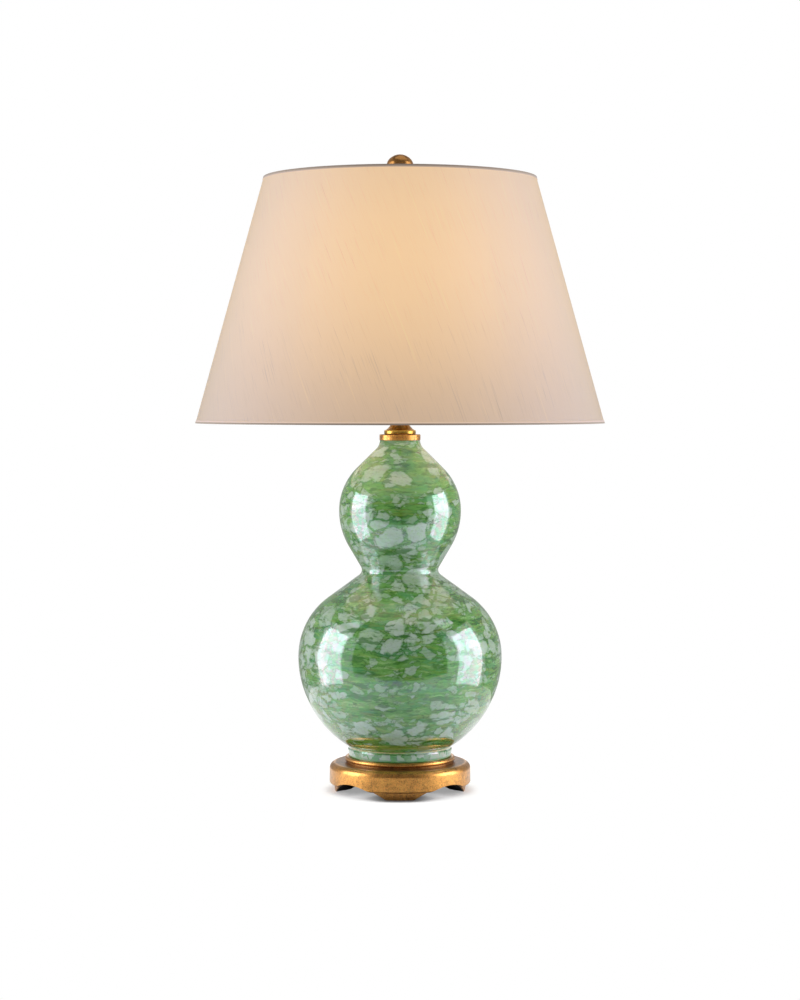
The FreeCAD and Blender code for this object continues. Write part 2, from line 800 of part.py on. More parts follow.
def trim_depth():
    """From the fabric's face in to the inner leg of a trim, past the ring."""
    return cover_thickness + liner_thickness + across_slope(2 * ring_radius + 2 * slip_gap)


def top_trim():
    band = cone_band(trim_thickness, trim_depth() + trim_thickness, shade_top - trim_height, shade_top)
    band = band.cut(cone_band(0, trim_depth(), shade_top - trim_height, shade_top - trim_thickness))
    return band.cut(spider_spokes())


def bottom_trim():
    band = cone_band(trim_thickness, trim_depth() + trim_thickness, shade_bottom, shade_bottom + trim_height)
    return band.cut(cone_band(0, trim_depth(), shade_bottom + trim_thickness, shade_bottom + trim_height))


def wire_ring_radius(height):
    inside = cover_thickness + liner_thickness + across_slope(slip_gap + ring_radius)
    return shade_radius(height) - inside


def wire_ring(height):
    """A ring of the shade's frame, in line with the liner's inner face."""
    return Part.makeTorus(wire_ring_radius(height), ring_radius, V(0, 0, height))


def top_ring_height():
    return shade_top - trim_thickness - slip_gap - ring_radius


def top_ring():
    return wire_ring(top_ring_height())


def bottom_ring():
    return wire_ring(shade_bottom + trim_thickness + slip_gap + ring_radius)


def spider_hub():
    return ring(hub_radius, hub_bore, hub_bottom, hub_top)


def spider_spokes():
    start = V(hub_radius - spoke_radius, 0, (hub_bottom + hub_top) / 2)
    end = V(wire_ring_radius(top_ring_height()), 0, top_ring_height())
    spoke = Part.makeCylinder(spoke_radius, start.distanceToPoint(end), start, end - start)
    hub = Part.makeCylinder(hub_radius, 4 * hub_thickness, V(0, 0, hub_bottom - hub_thickness))
    spoke = spoke.cut(hub).cut(top_ring())
    spoke = max(spoke.Solids, key=lambda solid: solid.Volume)
    return Part.makeCompound(around(spoke, spokes, first_spoke_angle))


def finial_washer():
    top = finial_washer_bottom + finial_washer_thickness
    return ring(finial_washer_radius, hub_bore, finial_washer_bottom, top)


def ball_bottom():
    return finial_bottom + finial_base_height


def finial_base():
    bore = stud_radius + slip_gap
    top = ball_bottom()
    flange_top = finial_bottom + finial_flange
    cup_bottom = top - finial_flange
    cove_middle = spot(finial_neck_radius, (flange_top + cup_bottom) / 2)
    return turned(spot(bore, finial_bottom), spot(finial_flange_radius, finial_bottom),
                  spot(finial_flange_radius, flange_top), (cove_middle, spot(finial_cup_radius, cup_bottom)),
                  spot(finial_cup_radius, top), spot(0, top), spot(0, finial_bottom + finial_bore_depth),
                  spot(bore, finial_bottom + finial_bore_depth))


def finial_ball():
    """A flattened ball of tangent side and crown arcs, cut flat where it stands on its base."""
    half = ball_height / 2
    shift = ball_radius - ball_side_arc
    crown_arc = (shift ** 2 + half ** 2 - ball_side_arc ** 2) / 2 / (half - ball_side_arc)
    rise = crown_arc - half
    middle = ball_bottom() - rise + math.sqrt(crown_arc ** 2 - finial_cup_radius ** 2)
    side = spot(shift, middle)
    above = spot(0, middle - rise)
    below = spot(0, middle + rise)
    shoulder = math.atan2(rise, shift)
    foot_angle = math.acos(finial_cup_radius / crown_arc)
    low_shoulder = on_arc(below, crown_arc, -shoulder)
    return turned(spot(0, ball_bottom()), spot(finial_cup_radius, ball_bottom()),
                  (on_arc(below, crown_arc, -(foot_angle + shoulder) / 2), low_shoulder),
                  (spot(ball_radius, middle), on_arc(above, crown_arc, shoulder)),
                  (on_arc(above, crown_arc, (shoulder + math.pi / 2) / 2), spot(0, middle + half)))


parts = {
    "base_plinth": base_plinth,
    "felt_pads": felt_pads,
    "vase_gasket": vase_gasket,
    "threaded_pipe": threaded_pipe,
    "base_washer": base_washer,
    "base_nut": base_nut,
    "cord_bushing": cord_bushing,
    "vase_body": vase_body,
    "neck_disc": neck_disc,
    "vase_cap": vase_cap,
    "neck_tube": neck_tube,
    "harp_saddle": harp_saddle,
    "lock_washer": lock_washer,
    "harp_wire": harp_wire,
    "swivel_stud": swivel_stud,
    "socket_cap": socket_cap,
    "cap_set_screw": cap_set_screw,
    "socket_shell": socket_shell,
    "socket_liner": socket_liner,
    "socket_core": socket_core,
    "terminal_screws": terminal_screws,
    "screw_shell": screw_shell,
    "centre_contact": centre_contact,
    "switch_shaft": switch_shaft,
    "switch_knob": switch_knob,
    "bulb_tip": bulb_tip,
    "bulb_insulator": bulb_insulator,
    "bulb_screw_cap": bulb_screw_cap,
    "bulb_glass": bulb_glass,
    "bulb_stem": bulb_stem,
    "bulb_filament": bulb_filament,
    "shade_cover": shade_cover,
    "shade_liner": shade_liner,
    "top_trim": top_trim,
    "bottom_trim": bottom_trim,
    "top_ring": top_ring,
    "bottom_ring": bottom_ring,
    "spider_hub": spider_hub,
    "spider_spokes": spider_spokes,
    "finial_washer": finial_washer,
    "finial_base": finial_base,
    "finial_ball": finial_ball,
}

os.makedirs("parts", exist_ok=True)
for node, make in parts.items():
    make().exportStep("parts/" + node + ".step")
for name, side in (("left", -1), ("right", 1)):
    harp_sleeve(side).exportStep("parts/harp_sleeve_" + name + ".step")
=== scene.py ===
import bpy
import math
from collections import namedtuple
from bpy.props import FloatProperty, FloatVectorProperty, PointerProperty
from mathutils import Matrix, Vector


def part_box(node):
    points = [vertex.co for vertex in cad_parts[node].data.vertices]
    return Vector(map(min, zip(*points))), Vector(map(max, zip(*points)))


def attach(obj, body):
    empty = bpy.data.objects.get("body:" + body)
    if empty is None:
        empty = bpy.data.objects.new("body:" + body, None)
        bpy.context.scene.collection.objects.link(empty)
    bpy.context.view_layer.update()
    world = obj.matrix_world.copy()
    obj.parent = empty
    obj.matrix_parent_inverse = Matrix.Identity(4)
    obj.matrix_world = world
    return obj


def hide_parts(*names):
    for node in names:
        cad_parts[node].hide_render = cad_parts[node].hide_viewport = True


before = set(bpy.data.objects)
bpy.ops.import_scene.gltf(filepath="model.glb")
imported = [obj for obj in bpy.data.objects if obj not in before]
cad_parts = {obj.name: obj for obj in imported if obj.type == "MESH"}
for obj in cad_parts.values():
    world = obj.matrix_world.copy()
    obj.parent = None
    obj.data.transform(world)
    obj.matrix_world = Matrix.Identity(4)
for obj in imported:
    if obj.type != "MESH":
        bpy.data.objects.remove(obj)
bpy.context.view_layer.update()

bl_info = {
    "name": "Double gourd table lamp",
    "version": (1, 0, 0),
    "blender": (4, 5, 0),
    "location": "View3D > Sidebar > Lamp",
    "description": "Dresses a lamp: glazed double gourd vase, gilded plinth, brass fittings and silk shade",
    "category": "Object",
}

MM = 0.001
WHITE = (1.0, 1.0, 1.0)
BLACK = (0.0, 0.0, 0.0)


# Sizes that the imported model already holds, in metres

def low(node):
    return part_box(node)[0]


def high(node):
    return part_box(node)[1]


SHADE_BOTTOM = low("bottom_trim").z
SHADE_TOP = high("top_trim").z
COVER_LOW = low("shade_cover").z
COVER_HIGH = high("shade_cover").z
COVER_RISE = COVER_HIGH - COVER_LOW
VASE_FOOT = low("vase_body").z
PLINTH_TOP = high("base_plinth").z
DISC_TOP = high("neck_disc").z

# The shade's radius shrinks by 76.2 mm over its height of 274.5 mm
SHADE_TAPER = 76.2 / 274.5
COVER_LOW_RADIUS = high("shade_cover").x
COVER_HIGH_RADIUS = COVER_LOW_RADIUS - SHADE_TAPER * COVER_RISE
COVER_SLANT = math.hypot(COVER_RISE, COVER_LOW_RADIUS - COVER_HIGH_RADIUS)
SHADE_SIDES = 256
SMOOTH_LIMIT = math.radians(40)

# The round part of the bulb's glass is centred this far above the middle of the glass
BULB_ROUND_RISE = 17 * MM
BULB_CENTRE = (low("bulb_glass").z + high("bulb_glass").z) / 2 + BULB_ROUND_RISE


# Settings that a user would change

def colour(name, description, value):
    return FloatVectorProperty(name=name, description=description, default=value, subtype="COLOR",
                               size=3, min=0.0, max=1.0)


def length(name, description, value):
    return FloatProperty(name=name, description=description, default=value, unit="LENGTH", min=0.0)


def angle(name, description, value):
    return FloatProperty(name=name, description=description, default=value, subtype="ANGLE")


def power(name, description, value):
    return FloatProperty(name=name, description=description, default=value, unit="POWER")


def amount(name, description, value):
    return FloatProperty(name=name, description=description, default=value, min=0.0)


class LampShadeSettings(bpy.types.PropertyGroup):
    """Sizes and colours of the shade."""

    silk: colour("Silk", "Colour of the unlit fabric", (0.235, 0.345, 0.690))
    slub: colour("Slub", "Colour of the thick threads in the fabric", (0.267, 0.254, 0.240))
    pale_slub: colour("Pale slub", "Colour of the pale threads in the fabric", (0.83, 0.83, 0.83))
    # Glow, dimmed glow and glow level set a painted glow: emission that stands in for the bulb's light
    # through the fabric
    glow: colour("Glow", "Colour of the light that comes through the fabric", (0.965, 0.668, 0.365))
    dimmed_glow: colour("Dimmed glow", "Colour of that light in the thick threads", (0.46, 0.33, 0.19))
    beam: colour("Beam", "Colour of the bulb's glow in the middle of the shade", (1.0, 0.80, 0.20))
    lining: colour("Lining", "Colour of the stiff lining", (0.86, 0.83, 0.77))
    # The lining's glow is painted as emission, brightest at the bulb's height
    lining_glow: colour("Lining glow", "Glow of the lining beside the bulb", (1.0, 0.80, 0.55))
    lining_dusk: colour("Lining dusk", "Glow of the lining far above and below the bulb", (0.55, 0.36, 0.20))
    tape: colour("Tape", "Colour of the tape's folded edge", (0.37, 0.30, 0.25))
    tape_on_fabric: colour("Pale tape", "Colour of the tape where it lies on the fabric", (0.17, 0.19, 0.33))
    fabric_thickness: length("Fabric thickness", "Thickness of the silk on its lining", 0.5 * MM)
    lap_width: length("Lap width", "Width of the lapped seam at the back", 14 * MM)
    lap_height: length("Lap height", "How far the lapped seam stands out", 0.35 * MM)
    tape_fold: length("Tape fold", "Width of the tape's folded edge", 1.6 * MM)
    thread_lean: angle("Thread lean", "Lean of the slubs at the front of the shade", math.radians(20))
    glow_level: amount("Glow level", "Brightness of the lit fabric", 1.04)


class LampVaseSettings(bpy.types.PropertyGroup):
    """Colours and sizes of the vase's glaze."""

    deep: colour("Deep green", "Darkest brushed green", (0.034, 0.170, 0.013))
    middle: colour("Middle green", "Most common brushed green", (0.138, 0.388, 0.066))
    light: colour("Light green", "Palest brushed green", (0.310, 0.570, 0.185))
    teal: colour("Teal", "Bluish green of the cooler strokes", (0.080, 0.350, 0.160))
    olive: colour("Olive", "Golden tint in the creases", (0.310, 0.330, 0.050))
    gilt: colour("Gilt", "Gold lustre in the crease above the foot", (0.560, 0.460, 0.130))
    flake: colour("Flake", "Pale flakes in the glaze", (0.500, 0.640, 0.560))
    band_green: colour("Band green", "Green of the band round the foot", (0.07, 0.29, 0.06))
    band_pale: colour("Band pale", "Pale blocks in the band round the foot", (0.52, 0.64, 0.53))
    flake_size: length("Flake size", "Width of the large pale flakes", 17 * MM)
    streak_length: length("Streak length", "Length of the brushed streaks", 42 * MM)


class LampMetalSettings(bpy.types.PropertyGroup):
    """Colours of the gilding and the metal fittings."""

    gold: colour("Gold leaf", "Rubbed gold leaf", (0.87, 0.395, 0.088))
    bole: colour("Bole", "Brown ground that shows in the hollows", (0.165, 0.060, 0.014))
    brass: colour("Brass", "Polished brass of the vase cap", (0.66, 0.40, 0.085))
    finial: colour("Finial", "Brown lacquered brass of the finial", (0.75, 0.36, 0.11))
    # On the vase cap this colour also paints shade above the collar
    aged_and_shaded_brass: colour("Aged brass", "Brass where it has darkened", (0.20, 0.075, 0.018))
    pale_brass: colour("Pale brass", "Pressed brass of the socket", (0.72, 0.50, 0.20))
    steel: colour("Steel", "Zinc plated steel", (0.55, 0.55, 0.53))
    nickel: colour("Nickel", "Nickel of the bulb's cap and of its thread", (0.62, 0.60, 0.55))
    enamel: colour("Enamel", "White enamel of the shade's wires", (0.80, 0.78, 0.72))


class LampMouldedSettings(bpy.types.PropertyGroup):
    """Colours of the moulded parts and the felt."""

    phenolic: colour("Phenolic", "Moulded body of the socket", (0.035, 0.024, 0.018))
    card: colour("Card", "Insulating card in the socket's shell", (0.30, 0.22, 0.13))
    knob: colour("Knob", "Knob of the switch", (0.012, 0.011, 0.010))
    bushing: colour("Bushing", "Plastic bushing at the lead's inlet", (0.02, 0.02, 0.02))
    rubber: colour("Rubber", "Gasket under the vase", (0.018, 0.018, 0.018))
    insulator: colour("Insulator", "Black glass in the bulb's cap", (0.01, 0.01, 0.012))
    felt: colour("Felt", "Pads under the feet", (0.012, 0.012, 0.012))


class LampBulbSettings(bpy.types.PropertyGroup):
    """Colours and light of the bulb."""

    glass: colour("Glass", "Frosted glass", (0.40, 0.38, 0.34))
    glow: colour("Glow", "Glow of the round part of the glass", (1.0, 0.84, 0.58))
    neck_glow: colour("Neck glow", "Glow of the neck of the glass", (1.0, 0.66, 0.34))
    glow_level: amount("Glow level", "Brightness of the glass", 0.68)
    stem: colour("Stem", "Glass stem inside the bulb", (0.75, 0.76, 0.74))
    filament: colour("Filament", "Wire of the filament", (0.60, 0.40, 0.20))
    filament_glow: colour("Filament glow", "Glow of the filament", (1.0, 0.5, 0.2))
    light: power("Light", "Power of the light from the bulb", 0.50)
    light_colour: colour("Light colour", "Colour of the light from the bulb", (1.0, 0.80, 0.55))
    light_radius: length("Light radius", "Radius of the lit part of the bulb", 26 * MM)


class LampStageSettings(bpy.types.PropertyGroup):
    """Camera and studio light."""

    camera_distance: length("Camera distance", "Distance of the camera from the lamp's axis", 2.56)
    camera_height: length("Camera height", "Height of the camera above the table", 0.4385)
    camera_pitch: angle("Camera pitch", "Downward tilt of the camera", math.radians(1.2555))
    camera_drop: amount("Camera drop", "Downward shift of the picture, as on a view camera", 0.05)
    lens: FloatProperty(name="Lens", description="Focal length on a 36 mm sensor", default=82.12,
                        unit="CAMERA")
    floor_radius: length("Floor radius", "Radius of the white table top", 0.40)
    side_light: power("Side light", "Power of each side softbox", 8.6)
    key_light: power("Key light", "Power of the bright panel in each side softbox", 1.3)
    high_light: power("High light", "Power of each small softbox above the shade's sides", 0.6)
    overhead_light: power("Overhead light", "Power of the softbox above", 2.2)
    surround: amount("Surround", "Brightness of the white room", 0.42)


def settings(name):
    return getattr(bpy.context.scene, name)


# Shader maths

class Reading:
    """A value in a material. Plain arithmetic on it adds Math nodes."""

    def __init__(self, paint, socket):
        self.paint = paint
        self.socket = socket

    def join(self, operation, *values):
        return self.paint.node("Math", {"operation": operation}, dict(enumerate(values)))

    def __add__(self, other):
        return self.join("ADD", self, other)

    def __sub__(self, other):
        return self.join("SUBTRACT", self, other)

    def __rsub__(self, other):
        return self.join("SUBTRACT", other, self)

    def __mul__(self, other):
        return self.join("MULTIPLY", self, other)

    def __truediv__(self, other):
        return self.join("DIVIDE", self, other)

    def __abs__(self):
        return self.join("ABSOLUTE", self)

    def at_most(self, other):
        return self.join("MINIMUM", self, other)

    def at_least(self, other):
        return self.join("MAXIMUM", self, other)


class Paint:
    """One material and its node tree."""

    def __init__(self, name):
        self.material = bpy.data.materials.new(name)
        self.material.use_nodes = True
        self.tree = self.material.node_tree
        self.tree.nodes.clear()

    def node(self, kind, choices=None, sockets=None, output=0):
        """Adds a node: its choices are set first, then each socket gets a value or a link."""
        item = self.tree.nodes.new("ShaderNode" + kind)
        for key, value in (choices or {}).items():
            setattr(item, key, value)
        for key, value in (sockets or {}).items():
            if isinstance(value, Reading):
                self.tree.links.new(value.socket, item.inputs[key])
            elif item.inputs[key].type == "RGBA" and len(value) == 3:
                item.inputs[key].default_value = (*value, 1.0)
            else:
                item.inputs[key].default_value = value
        return Reading(self, item.outputs[output])

    def place(self):
        """Where a point is, in millimetres in the lamp's frame."""
        return self.scaled(self.node("TexCoord", output="Object"), 1.0 / MM)

    def scaled(self, vector, factor):
        return self.node("VectorMath", {"operation": "SCALE"}, {0: vector, "Scale": factor})

    def stretched(self, vector, factors):
        return self.node("VectorMath", {"operation": "MULTIPLY"}, {0: vector, 1: factors})

    def axes(self, vector):
        return [self.node("SeparateXYZ", None, {"Vector": vector}, axis) for axis in "XYZ"]

    def around(self, vector):
        """The distance from the lamp's axis."""
        flat = self.stretched(vector, (1.0, 1.0, 0.0))
        return self.node("VectorMath", {"operation": "LENGTH"}, {0: flat}, "Value")

    def noise(self, vector, scale, detail=2.0, roughness=0.5, output="Fac"):
        """Noise, with scale as its changes per unit of the vector and detail as its finer layers."""
        sockets = {"Vector": vector, "Scale": scale, "Detail": detail, "Roughness": roughness}
        return self.node("TexNoise", None, sockets, output)

    def streaks(self, vector, level, upright, detail=2.0, roughness=0.5):
        """Noise drawn out by its two rates of change per millimetre, level and upright."""
        return self.noise(self.stretched(vector, (level, level, upright)), 1.0, detail, roughness)

    def warped(self, vector, scale, reach, detail=2.0):
        """The vector pushed about by noise, at most half the reach each way."""
        push = self.noise(vector, scale, detail, output="Color")
        centred = self.node("VectorMath", {"operation": "SUBTRACT"}, {0: push, 1: (0.5, 0.5, 0.5)})
        return self.node("VectorMath", {"operation": "ADD"}, {0: vector, 1: self.scaled(centred, reach)})

    def cell_colour(self, vector):
        """A random colour for each cell of a pattern of cells."""
        return self.node("TexVoronoi", {"feature": "F1"}, {"Vector": vector, "Scale": 1.0}, "Color")

    def cell_edge(self, vector):
        """The distance from the edge of a cell of that pattern."""
        sockets = {"Vector": vector, "Scale": 1.0}
        return self.node("TexVoronoi", {"feature": "DISTANCE_TO_EDGE"}, sockets, "Distance")

    def step(self, value, start, end):
        """Rises smoothly from 0 at start to 1 at end."""
        return self.node("MapRange", {"interpolation_type": "SMOOTHSTEP"},
                         {"Value": value, "From Min": start, "From Max": end})

    def hill(self, value, centre, width):
        """1 at the centre, falling to 0 at the width on either side."""
        return 1.0 - self.step(abs(value - centre), 0.0, width)

    def mixed(self, first, second, factor):
        """Mixes two colours, by the numbers of the Mix node's colour sockets."""
        return self.node("Mix", {"data_type": "RGBA"}, {0: factor, 6: first, 7: second}, 2)

    def ramp(self, value, stops):
        """Colours by value: each stop is a position and a colour."""
        blend = self.node("ValToRGB", None, {"Fac": value})
        elements = blend.socket.node.color_ramp.elements
        while len(elements) < len(stops):
            elements.new(0.5)
        for element, (position, tone) in zip(elements, stops):
            element.position = position
            element.color = (*tone, 1.0)
        return blend

    def bump(self, height, distance, strength, normal=None):
        sockets = {"Height": height, "Distance": distance, "Strength": strength}
        if normal:
            sockets["Normal"] = normal
        return self.node("Bump", None, sockets)

    def openness(self, reach):
        """1 in the open, less where something stands within reach."""
        return self.node("AmbientOcclusion", {"samples": 12}, {"Distance": reach}, "AO")

    def ray(self, kind):
        """1 for rays of one kind, 0 for all others."""
        return self.node("LightPath", output=f"Is {kind} Ray")

    def surface(self, **sockets):
        """A Principled surface. The sockets are named in lower case, as in base_color."""
        titles = {key: key.replace("_", " ").title().replace("Ior", "IOR") for key in sockets}
        return self.node("BsdfPrincipled", None, {titles[key]: value for key, value in sockets.items()})

    def glowing(self, strength):
        return self.node("Emission", None, {"Color": WHITE, "Strength": strength})

    def clear(self, tint=WHITE):
        return self.node("BsdfTransparent", None, {"Color": tint})

    def blended(self, first, second, factor):
        return self.node("MixShader", None, {0: factor, 1: first, 2: second})

    def see_through_shadow(self, shader, tint):
        """Lets lamps shine through a thin layer, dimmed to the tint."""
        return self.blended(shader, self.clear(tint), self.ray("Shadow"))

    def finished(self, shader):
        output = self.tree.nodes.new("ShaderNodeOutputMaterial")
        self.tree.links.new(shader.socket, output.inputs["Surface"])
        return self.material


def dimmed(tone, factor):
    return tuple(factor * part for part in tone)


def dress(material, *nodes):
    """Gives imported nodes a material."""
    for name in nodes:
        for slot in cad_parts[name].material_slots:
            slot.material = material


# Modelling by hand

def fresh():
    if bpy.context.mode != "OBJECT":
        bpy.ops.object.mode_set(mode="OBJECT")
    bpy.ops.object.select_all(action="DESELECT")


def pick(piece):
    fresh()
    piece.select_set(True)
    bpy.context.view_layer.objects.active = piece


def active():
    return bpy.context.view_layer.objects.active


def named(piece, name, material):
    piece.name = name
    piece.data.name = name
    piece.data.materials.clear()
    piece.data.materials.append(material)
    return piece


def settle(piece):
    """Puts the place, turn and size of a piece into its mesh."""
    pick(piece)
    bpy.ops.object.transform_apply(location=True, rotation=True, scale=True)


# The glaze of the vase

# Layers of pale flakes: width and height in flake sizes, share of the cells that show, and strength
FlakeLayer = namedtuple("FlakeLayer", "width height shown weight")
FLAKE_LAYERS = (
    FlakeLayer(1.60, 1.15, 0.49, 0.95),
    FlakeLayer(0.95, 0.60, 0.45, 0.85),
    FlakeLayer(0.50, 0.24, 0.33, 0.50),
)

# Lines of gold above the foot: height and half width in millimetres, and strength
GiltLine = namedtuple("GiltLine", "height width weight")
GILT_LINES = (GiltLine(11.4, 1.3, 0.90), GiltLine(17.5, 0.9, 0.55))

# The lustre is a thin film of two thicknesses, in nanometres, over the glaze
FILM_THICKNESSES = (302.0, 348.0)
FILM_IOR = 1.90
GLAZE_IOR = 1.72


class Glaze:
    """Mottled lustre glaze. A method that is given a green paints one layer over it."""

    def __init__(self):
        self.tone = settings("lamp_vase")
        self.paint = Paint("lustre_glaze")
        self.place = self.paint.place()
        self.flow = self.paint.warped(self.paint.warped(self.place, 0.018, 14.0), 0.12, 3.5)
        self.dark = dimmed(self.tone.deep, 0.55)
        along = MM / self.tone.streak_length
        self.broad = self.paint.streaks(self.flow, along, 0.10, 4.0, 0.6)
        self.fine = self.paint.streaks(self.flow, 1.6 * along, 0.45, 5.0, 0.7)
        crowd = self.crowding()
        self.flakes = [self.flake_layer(layer, crowd) for layer in FLAKE_LAYERS]
        self.large_flakes = self.flakes[0][0]
        self.covered = self.large_flakes.at_least(self.flakes[1][0])

    def material(self):
        green = self.brushed()
        for layer in (self.flaked, self.veined, self.footed):
            green = layer(green)
        return self.lustre(green)

    def brushed(self):
        """Greens in long strokes, cooler and warmer in places."""
        paint, tone = self.paint, self.tone
        green = paint.ramp(self.broad * 0.5 + self.fine * 0.5,
                           [(0.42, tone.deep), (0.48, tone.middle), (0.53, tone.middle), (0.60, tone.light)])
        cool = paint.step(paint.streaks(self.flow, 0.022, 0.09, 3.0, 0.6), 0.52, 0.60)
        green = paint.mixed(green, tone.teal, cool * 0.45)
        warm = paint.step(paint.streaks(self.flow, 0.035, 0.25, 3.0, 0.6), 0.54, 0.62)
        return paint.mixed(green, tone.olive, warm * 0.30)

    def crowding(self):
        """Above 0 where more flakes show, below 0 where fewer do."""
        crowd = self.paint.streaks(self.paint.warped(self.place, 0.03, 12.0), 0.016, 0.024)
        return self.paint.step(crowd, 0.40, 0.60) * 0.46 - 0.22

    def flake_layer(self, layer, crowd):
        """Pale cells of a torn layer, and the thin dark lines round them."""
        paint = self.paint
        width = layer.width * self.tone.flake_size / MM
        height = layer.height * self.tone.flake_size / MM
        torn = paint.warped(self.place, 1.1 / width, 0.60 * width)
        torn = paint.warped(torn, 4.0 / width, 0.12 * width, 3.0)
        cell = paint.stretched(torn, (1.0 / width, 1.0 / width, 1.0 / height))
        chance, spread, strength = [paint.node("SeparateColor", None, {0: paint.cell_colour(cell)}, part)
                                    for part in ("Red", "Green", "Blue")]
        frayed = paint.noise(self.place, 3.5 / width, 4.0, 0.7) - 0.5
        edge = paint.cell_edge(cell) + frayed * 0.22 - spread * 0.06
        shown = paint.step(chance + crowd, 1.0 - layer.shown, 1.03 - layer.shown)
        inside = paint.step(edge, 0.04, 0.14) * (strength * 0.5 + 0.5) * layer.weight
        return shown * inside, shown * paint.hill(edge, 0.03, 0.035)

    def flaked(self, green):
        """Pale flakes, the small ones lowest, with thin dark lines round them."""
        paint, tone = self.paint, self.tone
        cloud = paint.noise(self.place, 0.25, 4.0, 0.65)
        flake = paint.mixed(tone.flake, tone.light, paint.step(cloud, 0.45, 0.72) * 0.55)
        for pale, line in reversed(self.flakes):
            green = paint.mixed(green, flake, pale)
            green = paint.mixed(green, self.dark, line * paint.step(cloud, 0.35, 0.55) * 0.58)
        return green

    def winding(self, level, upright, width):
        """Thin winding lines along the brushing."""
        return self.paint.hill(self.paint.streaks(self.flow, level, upright, 3.0, 0.6), 0.5, width)

    def veined(self, green):
        """Dark veins and strokes, fainter on the flakes."""
        paint, tone = self.paint, self.tone
        worn = paint.step(paint.noise(self.place, 0.08, 3.0, 0.6), 0.40, 0.58)
        open_green = 1.0 - self.covered * 0.75
        green = paint.mixed(green, self.dark, self.winding(1 / 24, 1 / 8, 0.017) * worn * open_green * 0.75)
        green = paint.mixed(green, tone.deep, self.winding(1 / 55, 1 / 5, 0.016) * open_green * 0.60)
        strokes = paint.streaks(self.flow, 0.026, 0.10, 3.0, 0.65)
        return paint.mixed(green, tone.deep, paint.step(strokes, 0.57, 0.63) * 0.75)

    def footed(self, green):
        """The creases above the foot, with gold lustre in them, and the band of pale blocks round it."""
        paint, tone = self.paint, self.tone
        z = paint.axes(self.place)[2]
        foot = VASE_FOOT / MM
        crease = paint.hill(z, foot + 16.0, 7.0) * paint.step(self.broad, 0.46, 0.56)
        green = paint.mixed(green, tone.olive, crease * 0.60)
        gilding = paint.step(self.fine, 0.38, 0.50)
        for line in GILT_LINES:
            gold = paint.hill(z, foot + line.height, line.width) * gilding * line.weight
            green = paint.mixed(green, tone.gilt, gold)
        band = 1.0 - paint.step(z, foot + 9.0, foot + 10.0)
        blocks = paint.cell_colour(paint.stretched(paint.warped(self.place, 0.1, 4.0), (0.15, 0.15, 0.04)))
        blocks = paint.step(blocks, 0.50, 0.64) * paint.step(z, foot + 2.0, foot + 4.5)
        green = paint.mixed(green, paint.mixed(tone.band_green, tone.band_pale, blocks), band * 0.70)
        # Painted shade: the glaze darkens at its lower edge, where the vase stands on the bead
        painted_shade_at_foot = 1.0 - paint.step(z, foot + 0.6, foot + 1.8)
        return paint.mixed(green, self.dark, painted_shade_at_foot * 0.85)

    def lustre(self, green):
        """The glaze's gloss: slow waves, slightly raised flakes and a film of varying thickness."""
        paint = self.paint
        waves = paint.streaks(self.place, 0.02, 0.05)
        grain = paint.noise(self.place, 0.35)
        normal = paint.bump(waves, 0.9 * MM, 0.5)
        normal = paint.bump(self.large_flakes * 0.6 + grain * 0.25, 0.05 * MM, 0.6, normal)
        gloss = paint.step(grain, 0.2, 0.9) * 0.05 + 0.07
        films = [paint.surface(base_color=green, roughness=gloss, ior=GLAZE_IOR, normal=normal,
                               coat_weight=0.6, coat_roughness=0.04, coat_ior=1.6,
                               thin_film_thickness=thickness, thin_film_ior=FILM_IOR)
                 for thickness in FILM_THICKNESSES]
        shimmer = paint.step(paint.noise(paint.warped(self.place, 0.25, 5.0), 0.20, 3.0, 0.6), 0.42, 0.58)
        return paint.finished(paint.blended(*films, shimmer))


# Metals and moulded parts

# Black for the underside of the plinth
UNDERSIDE_BLACK = (0.008, 0.007, 0.006)


def gilded_finish(name, base, ground, hollows):
    """Rubbed gold leaf over brown bole. The function hollows says where ground shows, partly as painted
    shade, and where black does.
    """
    paint = Paint(name)
    place = paint.place()
    brushed = paint.streaks(paint.warped(place, 0.1, 2.0), 0.9, 0.10, 4.0, 0.7)
    speckle = paint.noise(place, 0.75, 5.0, 0.75)
    patch = paint.noise(place, 0.10, 4.0, 0.65)
    ground_and_shade, black = hollows(paint, paint.around(place), paint.axes(place)[2])
    wear_and_shade = paint.step(speckle, 0.50, 0.62) * 0.55 + paint.step(patch, 0.47, 0.64) * 0.30
    wear_and_shade = wear_and_shade + paint.step(brushed, 0.52, 0.68) * 0.22 + ground_and_shade
    bright = tuple(min(1.0, part) for part in dimmed(base, 1.5))
    tint = paint.mixed(base, bright, paint.step(speckle, 0.48, 0.36))
    tint = paint.mixed(tint, ground, wear_and_shade.at_most(1.0))
    tint = paint.mixed(tint, UNDERSIDE_BLACK, black)
    shader = paint.surface(base_color=tint, metallic=0.95 - black * 0.95,
                           roughness=speckle * 0.28 + 0.17 + ground_and_shade * 0.30 + black * 0.5,
                           normal=paint.bump(speckle * 0.6 + brushed * 0.4, 0.35 * MM, 0.45),
                           coat_weight=0.6 - black * 0.6, coat_roughness=0.3)
    return paint.finished(shader)


def brass_finish(name, base, dark, roughness, tarnished=0.45, darkened=None):
    """Brass with faint lathe lines and aged dark spots. The function darkened adds painted shade by height.
    """
    paint = Paint(name)
    place = paint.place()
    rings = paint.streaks(place, 0.15, 3.0, 3.0, 0.6)
    tarnish_and_shade = paint.step(paint.noise(place, 0.30, 5.0, 0.65), 0.42, 0.72) * tarnished
    if darkened:
        tarnish_and_shade = tarnish_and_shade.at_least(darkened(paint, paint.axes(place)[2]))
    shader = paint.surface(base_color=paint.mixed(base, dark, tarnish_and_shade), metallic=1.0,
                           roughness=rings * 0.12 + roughness, normal=paint.bump(rings, 0.05 * MM, 0.3))
    return paint.finished(shader)


